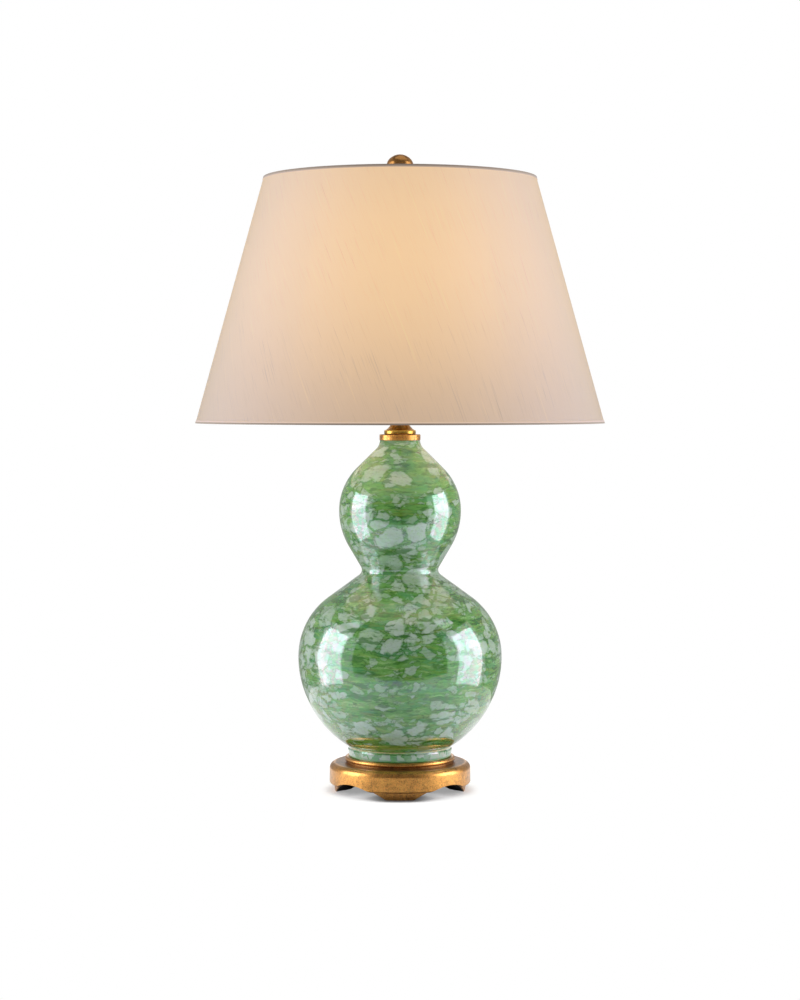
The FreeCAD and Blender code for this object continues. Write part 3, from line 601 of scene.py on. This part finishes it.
def plain_finish(name, base, roughness, grain=1.0, depth=0.05, metallic=0.0, **constants):
    """A plain material with a fine grain in its colour, gloss and surface. The depth is in millimetres."""
    paint = Paint(name)
    speckle = paint.noise(paint.place(), grain, 4.0, 0.6)
    shader = paint.surface(base_color=paint.mixed(base, dimmed(base, 0.85), paint.step(speckle, 0.3, 0.7)),
                           roughness=speckle * 0.15 + roughness, metallic=metallic,
                           normal=paint.bump(speckle, depth * MM, 0.5), **constants)
    return paint.finished(shader)


# Shade and bulb

def lapped(paint, width):
    """1 on the lapped seam at the back of the shade, 0 elsewhere. The width is in metres."""
    place = paint.place()
    aside, behind, _ = paint.axes(place)
    edge = width / 2 / COVER_LOW_RADIUS
    turn = abs(aside) / paint.around(place)
    return paint.step(turn, 0.86 * edge, 0.80 * edge) * paint.step(behind, 0.0, 1.0)


def silk_finish():
    """Lit silk: fine weave with slub threads, warm where the bulb shines through and where a glow is painted
    in as emission.
    """
    tone = settings("lamp_shade")
    paint = Paint("lit_silk")
    flat = paint.scaled(paint.node("UVMap", {"uv_map": "flat_pattern"}), 1.0 / MM)
    turn = {"Vector": flat, "Rotation": (0.0, 0.0, -tone.thread_lean)}
    lean = paint.node("Mapping", {"vector_type": "POINT"}, turn)

    def threads(across, along, roughness=0.5):
        """Noise drawn out along the threads, by its two rates of change per millimetre."""
        return paint.noise(paint.stretched(lean, (across, along, 1.0)), 1.0, 2.0, roughness)

    def slubs(width, run, start, end):
        """Long thin marks along the threads, sized in millimetres."""
        return paint.step(threads(1.0 / width, 1.0 / run, 0.55), start, end)

    crowd = paint.step(threads(0.018, 0.006), 0.38, 0.62)
    thick = slubs(1.4, 64.0, 0.60, 0.70) * (crowd * 0.45 + 0.40)
    thin = slubs(1.0, 42.0, 0.57, 0.70)
    pale = slubs(2.6, 110.0, 0.62, 0.74)
    cloud = threads(0.012, 0.004)
    weave = threads(2.5, 0.08)
    fabric = paint.mixed(tone.silk, tone.slub, thick * 0.50 + thin * 0.26)
    fabric = paint.mixed(fabric, tone.pale_slub, pale * 0.22)
    fabric = paint.mixed(fabric, tone.slub, weave * 0.06 + cloud * 0.05)

    # The painted glow grows from below the shade towards its top, and drops a little again at the top itself
    z = paint.axes(paint.place())[2]
    bottom, top = COVER_LOW / MM, COVER_HIGH / MM
    painted_glow = paint.step(z, bottom - 40, top - 90) * 0.26 + 0.61 - paint.step(z, top - 60, top) * 0.02
    # Thick threads, thin threads and the weave dim the painted glow, and so does the lapped seam
    painted_glow_tone = paint.mixed(tone.glow, tone.dimmed_glow, thick * 0.68 + thin * 0.28 + weave * 0.08)
    lit = paint.mixed(BLACK, painted_glow_tone, painted_glow * (1.0 - lapped(paint, tone.lap_width) * 0.22))
    front = paint.surface(base_color=fabric, roughness=0.75,
                          sheen_weight=1.0, sheen_roughness=0.5, sheen_tint=(0.75, 0.85, 1.0),
                          emission_color=lit, emission_strength=tone.glow_level,
                          normal=paint.bump(thick + thin * 0.5 + weave * 0.4, 0.12 * MM, 0.35))
    through = paint.node("BsdfRefraction", None, {"Color": tone.beam, "Roughness": 1.0, "IOR": 3.0})
    beam_share = 0.506 - thick * 0.15 - thin * 0.04
    shader = paint.blended(front, through, beam_share)
    return paint.finished(paint.see_through_shadow(shader, (0.75, 0.70, 0.62)))


def lining_finish():
    """Translucent white sheet, lit from the bulb, with a painted glow as emission that is warmest beside the
    bulb.
    """
    tone = settings("lamp_shade")
    paint = Paint("shade_lining")
    place = paint.place()
    grain = paint.noise(place, 1.2, 3.0)
    from_bulb = abs(paint.axes(place)[2] - BULB_CENTRE / MM)
    # Painted glow: warm beside the bulb's height, dimmer far above and below it
    glow = paint.mixed(tone.lining_glow, tone.lining_dusk, paint.step(from_bulb, 20.0, 170.0))
    shader = paint.surface(base_color=paint.mixed(tone.lining, dimmed(tone.lining, 0.92), grain),
                           roughness=0.65, emission_color=glow, emission_strength=0.08,
                           normal=paint.bump(grain, 0.05 * MM, 0.4))
    return paint.finished(paint.see_through_shadow(shader, (0.80, 0.76, 0.70)))


def tape_finish():
    """Woven tape: the part on the fabric takes up a painted glow as emission, the folded edge almost none,
    so it is dark.
    """
    tone = settings("lamp_shade")
    paint = Paint("woven_tape")
    place = paint.place()
    z = paint.axes(place)[2]
    twill = paint.streaks(place, 1.4, 4.0, 3.0, 0.7)
    fold_top = (SHADE_TOP - tone.tape_fold) / MM
    fold_bottom = (SHADE_BOTTOM + tone.tape_fold) / MM
    top_edge = paint.step(z, fold_top - 2.4, fold_top + 0.6)
    edge = top_edge + (1.0 - paint.step(z, fold_bottom, fold_bottom + 0.4))
    base = paint.mixed(tone.tape_on_fabric, tone.tape, edge)
    base = paint.mixed(base, dimmed(tone.tape, 0.7), paint.step(twill, 0.40, 0.70) * 0.6)
    # Painted glow on the tape, as on the silk, except at the folded edge
    shader = paint.surface(base_color=base, roughness=0.85, sheen_weight=0.3,
                           emission_color=paint.mixed(tone.glow, (0.05, 0.03, 0.02), edge),
                           emission_strength=0.58 * tone.glow_level,
                           normal=paint.bump(twill, 0.15 * MM, 0.5))
    return paint.finished(paint.see_through_shadow(shader, (0.5, 0.45, 0.38)))


def bulb_finish():
    """Frosted glass, glowing, warmer towards its neck."""
    tone = settings("lamp_bulb")
    paint = Paint("glowing_glass")
    place = paint.place()
    frost = paint.noise(place, 0.8, 3.0)
    below = BULB_CENTRE / MM - paint.axes(place)[2]
    glow = paint.mixed(tone.glow, tone.neck_glow, paint.step(below, 0.0, 50.0) + frost * 0.05)
    shader = paint.surface(base_color=tone.glass, roughness=0.35,
                           emission_color=glow, emission_strength=tone.glow_level)
    return paint.finished(paint.see_through_shadow(shader, (0.97, 0.95, 0.92)))


# Pieces

class LAMP_OT_vase(bpy.types.Operator):
    """Glaze the double gourd vase"""

    bl_idname = "lamp.vase"
    bl_label = "Vase"

    def execute(self, context):
        dress(Glaze().material(), "vase_body")
        return {"FINISHED"}


class LAMP_OT_plinth(bpy.types.Operator):
    """Gild the plinth and the disc on the vase"""

    bl_idname = "lamp.plinth"
    bl_label = "Plinth and disc"

    def execute(self, context):
        tone = settings("lamp_metal")
        dress(gilded_finish("gold_leaf", tone.gold, tone.bole, self.plinth_hollows), "base_plinth")
        dress(gilded_finish("disc_leaf", tone.gold, tone.bole, self.disc_hollows), "neck_disc")
        return {"FINISHED"}

    @staticmethod
    def plinth_hollows(paint, radius, z):
        """Ground in the groove and on the feet, painted shade on the flat top and by the vase, and black
        beneath.
        """
        groove_height = PLINTH_TOP / MM - 5.6
        flat_height = PLINTH_TOP / MM - 6.6
        groove = paint.hill(z, groove_height, 1.4) * (1.0 - paint.step(radius, 73.0, 74.0)) * 0.55
        # Painted shade: ground darkens the flat top and the seat beside the vase
        painted_top_shade = paint.hill(z, flat_height, 0.6) * (1.0 - paint.step(radius, 71.0, 74.0)) * 0.70
        painted_beside_vase = 1.0 - paint.step(radius, 55.5, 57.5)
        lower_tier = (1.0 - paint.step(z, 8.3, 9.1)) * 0.15
        beneath = (1.0 - paint.step(radius, 71.0, 73.5)) * (1.0 - paint.step(z, 24.0, 27.0))
        return groove + painted_top_shade + painted_beside_vase + lower_tier, beneath

    @staticmethod
    def disc_hollows(paint, radius, z):
        """Ground along both edges of the disc and in streaks down its rim, and no black."""
        top = DISC_TOP / MM
        bottom = top - 6.7
        streaks = paint.step(paint.streaks(paint.place(), 0.5, 0.05, 3.0), 0.45, 0.6)
        return paint.hill(z, top, 0.8) * 0.6 + paint.hill(z, bottom, 0.8) * 0.5 + streaks * 0.3, 0.0


class LAMP_OT_fittings(bpy.types.Operator):
    """Finish the brass, steel and moulded fittings"""

    bl_idname = "lamp.fittings"
    bl_label = "Fittings"

    def execute(self, context):
        tone = settings("lamp_metal")
        moulded = settings("lamp_moulded")

        def brass(name, base, dark, roughness, nodes, **more):
            dress(brass_finish(name, base, dark, roughness, **more), *nodes)

        def plain(name, base, roughness, nodes, **more):
            dress(plain_finish(name, base, roughness, **more), *nodes)

        brass("cap_brass", tone.brass, tone.aged_and_shaded_brass, 0.18, ["vase_cap", "neck_tube"], darkened=self.painted_ogee_shade)
        brass("aged_brass", tone.finial, tone.aged_and_shaded_brass, 0.20,
              ["finial_washer", "finial_base", "finial_ball"], tarnished=0.3)
        brass("harp_brass", tone.brass, tone.aged_and_shaded_brass, 0.28,
              ["harp_saddle", "harp_wire", "harp_sleeve_left", "harp_sleeve_right", "swivel_stud"])
        brass("socket_brass", tone.pale_brass, tone.brass, 0.25,
              ["socket_cap", "socket_shell", "terminal_screws", "centre_contact"])
        plain("zinc_steel", tone.steel, 0.30,
              ["base_washer", "base_nut", "threaded_pipe", "lock_washer", "cap_set_screw", "switch_shaft"],
              grain=0.8, metallic=1.0)
        plain("white_enamel", tone.enamel, 0.25,
              ["top_ring", "bottom_ring", "spider_hub", "spider_spokes"], grain=0.5)
        plain("satin_nickel", tone.nickel, 0.25,
              ["screw_shell", "bulb_screw_cap", "bulb_tip"], grain=0.8, metallic=1.0)
        plain("phenolic", moulded.phenolic, 0.35, ["socket_core"], grain=0.6)
        plain("insulating_card", moulded.card, 0.8, ["socket_liner"], grain=0.9, depth=0.1)
        plain("black_knob", moulded.knob, 0.20, ["switch_knob"], grain=0.7)
        plain("bushing_plastic", moulded.bushing, 0.45, ["cord_bushing"], grain=0.9)
        plain("gasket_rubber", moulded.rubber, 0.75, ["vase_gasket"], grain=0.9)
        plain("black_glass", moulded.insulator, 0.08, ["bulb_insulator"], grain=0.5)
        return {"FINISHED"}

    @staticmethod
    def painted_ogee_shade(paint, z):
        """Painted shade: the vase cap is darkened above its collar, which ends 4.8 mm over the disc."""
        collar_top = DISC_TOP / MM + 4.8
        return paint.step(z, collar_top - 0.4, collar_top + 0.6) * 0.85


class LAMP_OT_bulb(bpy.types.Operator):
    """Light the frosted bulb"""

    bl_idname = "lamp.bulb"
    bl_label = "Bulb"

    def execute(self, context):
        tone = settings("lamp_bulb")
        dress(bulb_finish(), "bulb_glass")
        dress(plain_finish("stem_glass", tone.stem, 0.10, grain=0.5), "bulb_stem")
        dress(plain_finish("filament_wire", tone.filament, 0.30, metallic=1.0,
                           emission_color=tone.filament_glow, emission_strength=3.0), "bulb_filament")
        return {"FINISHED"}


class LAMP_OT_shade(bpy.types.Operator):
    """Cut the silk cover and stretch it over the lining, with a lapped seam at the back"""

    bl_idname = "lamp.shade"
    bl_label = "Silk cover"

    def execute(self, context):
        tone = settings("lamp_shade")
        lower = COVER_SLANT * COVER_LOW_RADIUS / (COVER_LOW_RADIUS - COVER_HIGH_RADIUS)
        silk = self.cone()
        self.lap(silk, tone.lap_width / 2 / COVER_LOW_RADIUS, tone.lap_height)
        self.unroll(silk, lower)
        self.thicken(silk, tone.fabric_thickness)

        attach(silk, "shade")
        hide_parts("shade_cover")
        dress(lining_finish(), "shade_liner")
        dress(tape_finish(), "top_trim", "bottom_trim")
        return {"FINISHED"}

    def cone(self):
        fresh()
        bpy.ops.mesh.primitive_cone_add(vertices=SHADE_SIDES, end_fill_type="NOTHING", depth=COVER_RISE,
                                        radius1=COVER_LOW_RADIUS, radius2=COVER_HIGH_RADIUS,
                                        location=(0, 0, (COVER_LOW + COVER_HIGH) / 2))
        silk = named(active(), "shade_silk", silk_finish())
        settle(silk)
        return silk

    def lap(self, silk, half_angle, height):
        """Raises the seam at the back, where one edge of the silk lies over the other."""
        for corner in silk.data.vertices:
            if corner.co.y > 0 and abs(corner.co.x) < corner.co.y * math.tan(half_angle):
                corner.co.y += height

    def unroll(self, silk, lower):
        """Gives the silk its flat pattern, a part of a ring with the outer radius lower, as its UV map."""
        while silk.data.uv_layers:
            silk.data.uv_layers.remove(silk.data.uv_layers[0])
        layer = silk.data.uv_layers.new(name="flat_pattern")
        for face in silk.data.polygons:
            middle = math.atan2(face.center.x, -face.center.y)
            for loop in face.loop_indices:
                point = silk.data.vertices[silk.data.loops[loop].vertex_index].co
                turn = middle + math.remainder(math.atan2(point.x, -point.y) - middle, math.tau)
                reach = lower - COVER_SLANT * (point.z - COVER_LOW) / COVER_RISE
                swing = turn * COVER_LOW_RADIUS / lower
                layer.data[loop].uv = (reach * math.sin(swing), -reach * math.cos(swing))

    def thicken(self, silk, thickness):
        """Gives the silk its thickness inwards."""
        pick(silk)
        solidify = silk.modifiers.new("Thickness", "SOLIDIFY")
        solidify.thickness = thickness
        solidify.offset = -1.0
        solidify.use_even_offset = True
        bpy.ops.object.modifier_apply(modifier=solidify.name)
        bpy.ops.object.shade_smooth_by_angle(angle=SMOOTH_LIMIT)


class LAMP_OT_felt(bpy.types.Operator):
    """Finish the felt pads under the feet"""

    bl_idname = "lamp.felt"
    bl_label = "Felt pads"

    def execute(self, context):
        felt = settings("lamp_moulded").felt
        dress(plain_finish("felt", felt, 0.95, grain=2.2, depth=0.3), "felt_pads")
        return {"FINISHED"}


# Stage

SENSOR_WIDTH = 36
CLIP_START = 50 * MM
FLOOR_SIDES = 96
FLOOR_TONES = ((0.77, 0.79, 0.84), (0.79, 0.81, 0.86))
# Tone of the painted contact shadow on the table
PAINTED_SHADOW_TONE = (0.15, 0.15, 0.15)

# Softboxes, in metres. Each aims at a height on the lamp's axis, and all but the last stand in pairs.
Softbox = namedtuple("Softbox", "name place aim size")
SIDE_BOX = Softbox("side_softbox", (1.14, -0.12, 0.18), 0.18, (0.73, 1.33))
KEY_BOX = Softbox("key_softbox", (1.13, -0.12, 0.60), 0.60, (0.70, 0.50))
HIGH_BOX = Softbox("high_softbox", (1.0, -0.3, 1.35), 0.70, (0.45, 0.35))
OVERHEAD_BOX = Softbox("overhead_softbox", (0.15, 0.15, 2.0), 0.70, (1.40, 1.20))

# Grey cards, in metres, which only reflections show. A card stands upright across the camera's line
# of sight, until it is turned by its tilt and its swing, in degrees.
Card = namedtuple("Card", "name place turn size level")
CARDS = (
    Card("grey_wall", (0, -3.1, 1.3), (0, 0), (8.6, 4.6), 0.16),
    Card("dark_gap", (0.03, -2.9, 0.4), (0, 0), (0.40, 2.4), 0.03),
    Card("side_flag", (-1.3, 4.4, 1.0), (0, 90), (8.0, 4.0), 0.34),
    Card("side_flag", (1.3, 4.4, 1.0), (0, 90), (8.0, 4.0), 0.34),
    Card("grey_ceiling", (0, 0, 2.8), (90, 0), (7.0, 7.0), 0.15),
)


class LAMP_OT_stage(bpy.types.Operator):
    """Set the camera, the floor and the studio light"""

    bl_idname = "lamp.stage"
    bl_label = "Stage"

    def execute(self, context):
        tone = settings("lamp_stage")
        self.camera(context.scene, tone)
        self.floor(tone.floor_radius)
        for side in (-1, 1):
            self.softbox(SIDE_BOX, tone.side_light, side)
            self.softbox(KEY_BOX, tone.key_light, side)
            self.softbox(HIGH_BOX, tone.high_light, side)
        self.softbox(OVERHEAD_BOX, tone.overhead_light)
        for card in CARDS:
            self.card(card)
        self.bulb(settings("lamp_bulb"))
        self.room(context.scene, tone.surround)
        context.scene.view_settings.view_transform = "Standard"
        return {"FINISHED"}

    def camera(self, scene, tone):
        fresh()
        bpy.ops.object.camera_add(location=(0, -tone.camera_distance, tone.camera_height),
                                  rotation=(math.pi / 2 - tone.camera_pitch, 0, 0))
        camera = active()
        camera.name = "studio_camera"
        camera.data.lens = tone.lens
        camera.data.sensor_width = SENSOR_WIDTH
        camera.data.shift_y = -tone.camera_drop
        camera.data.clip_start = CLIP_START
        scene.camera = camera

    def softbox(self, box, strength, side=1):
        """Adds a softbox, on the left when side is -1."""
        fresh()
        across, depth, height = box.place
        place = Vector((side * across, depth, height))
        bpy.ops.object.light_add(type="AREA", location=place)
        light = active()
        light.name = box.name
        light.data.shape = "RECTANGLE"
        light.data.size, light.data.size_y = box.size
        light.data.energy = strength
        light.rotation_euler = (Vector((0, 0, box.aim)) - place).to_track_quat("-Z", "Y").to_euler()

    def card(self, card):
        fresh()
        tilt, swing = [math.radians(turn) for turn in card.turn]
        bpy.ops.mesh.primitive_plane_add(size=1, location=card.place,
                                         rotation=(math.pi / 2 + tilt, 0, swing))
        active().scale = (*card.size, 1)
        paint = Paint(card.name)
        finish = paint.finished(paint.blended(paint.clear(), paint.glowing(card.level), paint.ray("Glossy")))
        plane = named(active(), card.name, finish)
        settle(plane)

    def bulb(self, tone):
        fresh()
        bpy.ops.object.light_add(type="POINT", location=(0, 0, BULB_CENTRE))
        bulb = active()
        bulb.name = "bulb_light"
        bulb.data.energy = tone.light
        bulb.data.color = tone.light_colour
        bulb.data.shadow_soft_size = tone.light_radius

    def floor(self, radius):
        fresh()
        bpy.ops.mesh.primitive_circle_add(vertices=FLOOR_SIDES, radius=radius, fill_type="NGON")
        floor = named(active(), "studio_floor", self.floor_finish(radius / MM))

    def floor_finish(self, radius):
        """A white table that keeps the lamp's shadow, with painted shade close to the lamp and painted light
        beside it, fading into the white room. The radius is in mm.
        """
        paint = Paint("white_table")
        place = paint.place()
        aside = abs(paint.axes(place)[0])
        camera_ray, glossy_ray = paint.ray("Camera"), paint.ray("Glossy")

        # Painted contact shadow: the table darkens where the lamp stands within 16 mm, less so to the sides
        painted_contact_shadow = 1.0 - paint.step(paint.openness(16 * MM), 0.50, 0.98)
        painted_contact_shadow = painted_contact_shadow * (1.0 - paint.step(aside, 12.0, 45.0) * 0.75)
        cloth = paint.mixed(*FLOOR_TONES, paint.noise(place, 0.02))
        lit = paint.surface(base_color=paint.mixed(cloth, PAINTED_SHADOW_TONE, painted_contact_shadow), roughness=0.9)
        white = paint.glowing(1.0)
        # The camera sees the table lifted towards white, less so within 18 mm of the lamp, which is painted
        # shade
        lift_with_painted_shade = camera_ray * (paint.step(paint.openness(18 * MM), 0.30, 1.0) * 0.18 + 0.42)
        lift_with_painted_shade = paint.blended(paint.glowing(0.0), white, lift_with_painted_shade * (1.0 - painted_contact_shadow * 0.90))
        near = paint.node("AddShader", None, {0: lit, 1: lift_with_painted_shade})
        # Painted light: reflections see the table white beside the vase, and the camera sees it white beside
        # the plinth, which paints the shadow out there
        painted_beside_vase = paint.step(aside, 50.0, 150.0)
        shadow_painted_out = paint.step(aside, 74.0, 100.0)
        near = paint.blended(near, white, glossy_ray * painted_beside_vase)
        near = paint.blended(near, white, camera_ray * shadow_painted_out)

        seen = (camera_ray + glossy_ray + paint.ray("Transmission")).at_most(1.0)
        far = paint.blended(paint.clear(), white, seen)
        edge = paint.step(paint.around(place), 0.45 * radius, 0.9 * radius)
        return paint.finished(paint.blended(near, far, edge))

    def room(self, scene, level):
        """A room that looks white and lights the lamp at the level."""
        world = bpy.data.worlds.new("white_room")
        scene.world = world
        world.use_nodes = True
        tree = world.node_tree
        tree.nodes.clear()
        seen, lit = [tree.nodes.new("ShaderNodeBackground") for _ in range(2)]
        for background, strength in ((seen, 1.0), (lit, level)):
            background.inputs["Color"].default_value = (*WHITE, 1.0)
            background.inputs["Strength"].default_value = strength
        path = tree.nodes.new("ShaderNodeLightPath")
        shader = lit.outputs[0]
        for ray in ("Is Camera Ray", "Is Glossy Ray", "Is Transmission Ray"):
            mix = tree.nodes.new("ShaderNodeMixShader")
            tree.links.new(path.outputs[ray], mix.inputs[0])
            tree.links.new(shader, mix.inputs[1])
            tree.links.new(seen.outputs[0], mix.inputs[2])
            shader = mix.outputs[0]
        output = tree.nodes.new("ShaderNodeOutputWorld")
        tree.links.new(shader, output.inputs["Surface"])


class LAMP_PT_panel(bpy.types.Panel):
    """Lists the lamp's pieces in the sidebar"""

    bl_label = "Lamp"
    bl_idname = "LAMP_PT_panel"
    bl_space_type = "VIEW_3D"
    bl_region_type = "UI"
    bl_category = "Lamp"

    def draw(self, context):
        for operator in OPERATORS:
            self.layout.operator(operator.bl_idname)
        for name in SETTINGS:
            group = getattr(context.scene, name)
            column = self.layout.column(heading=name)
            for key in group.__annotations__:
                column.prop(group, key)


OPERATORS = (LAMP_OT_vase, LAMP_OT_plinth, LAMP_OT_fittings, LAMP_OT_bulb, LAMP_OT_shade, LAMP_OT_felt,
             LAMP_OT_stage)
SETTINGS = {
    "lamp_shade": LampShadeSettings,
    "lamp_vase": LampVaseSettings,
    "lamp_metal": LampMetalSettings,
    "lamp_moulded": LampMouldedSettings,
    "lamp_bulb": LampBulbSettings,
    "lamp_stage": LampStageSettings,
}


def register():
    for group in SETTINGS.values():
        bpy.utils.register_class(group)
    for name, group in SETTINGS.items():
        setattr(bpy.types.Scene, name, PointerProperty(type=group))
    for item in (*OPERATORS, LAMP_PT_panel):
        bpy.utils.register_class(item)


def unregister():
    for item in (*OPERATORS, LAMP_PT_panel):
        bpy.utils.unregister_class(item)
    for name, group in SETTINGS.items():
        delattr(bpy.types.Scene, name)
        bpy.utils.unregister_class(group)


def main():
    register()
    for operator in OPERATORS:
        group, name = operator.bl_idname.split(".")
        getattr(getattr(bpy.ops, group), name)()


if __name__ == "__main__":
    main()
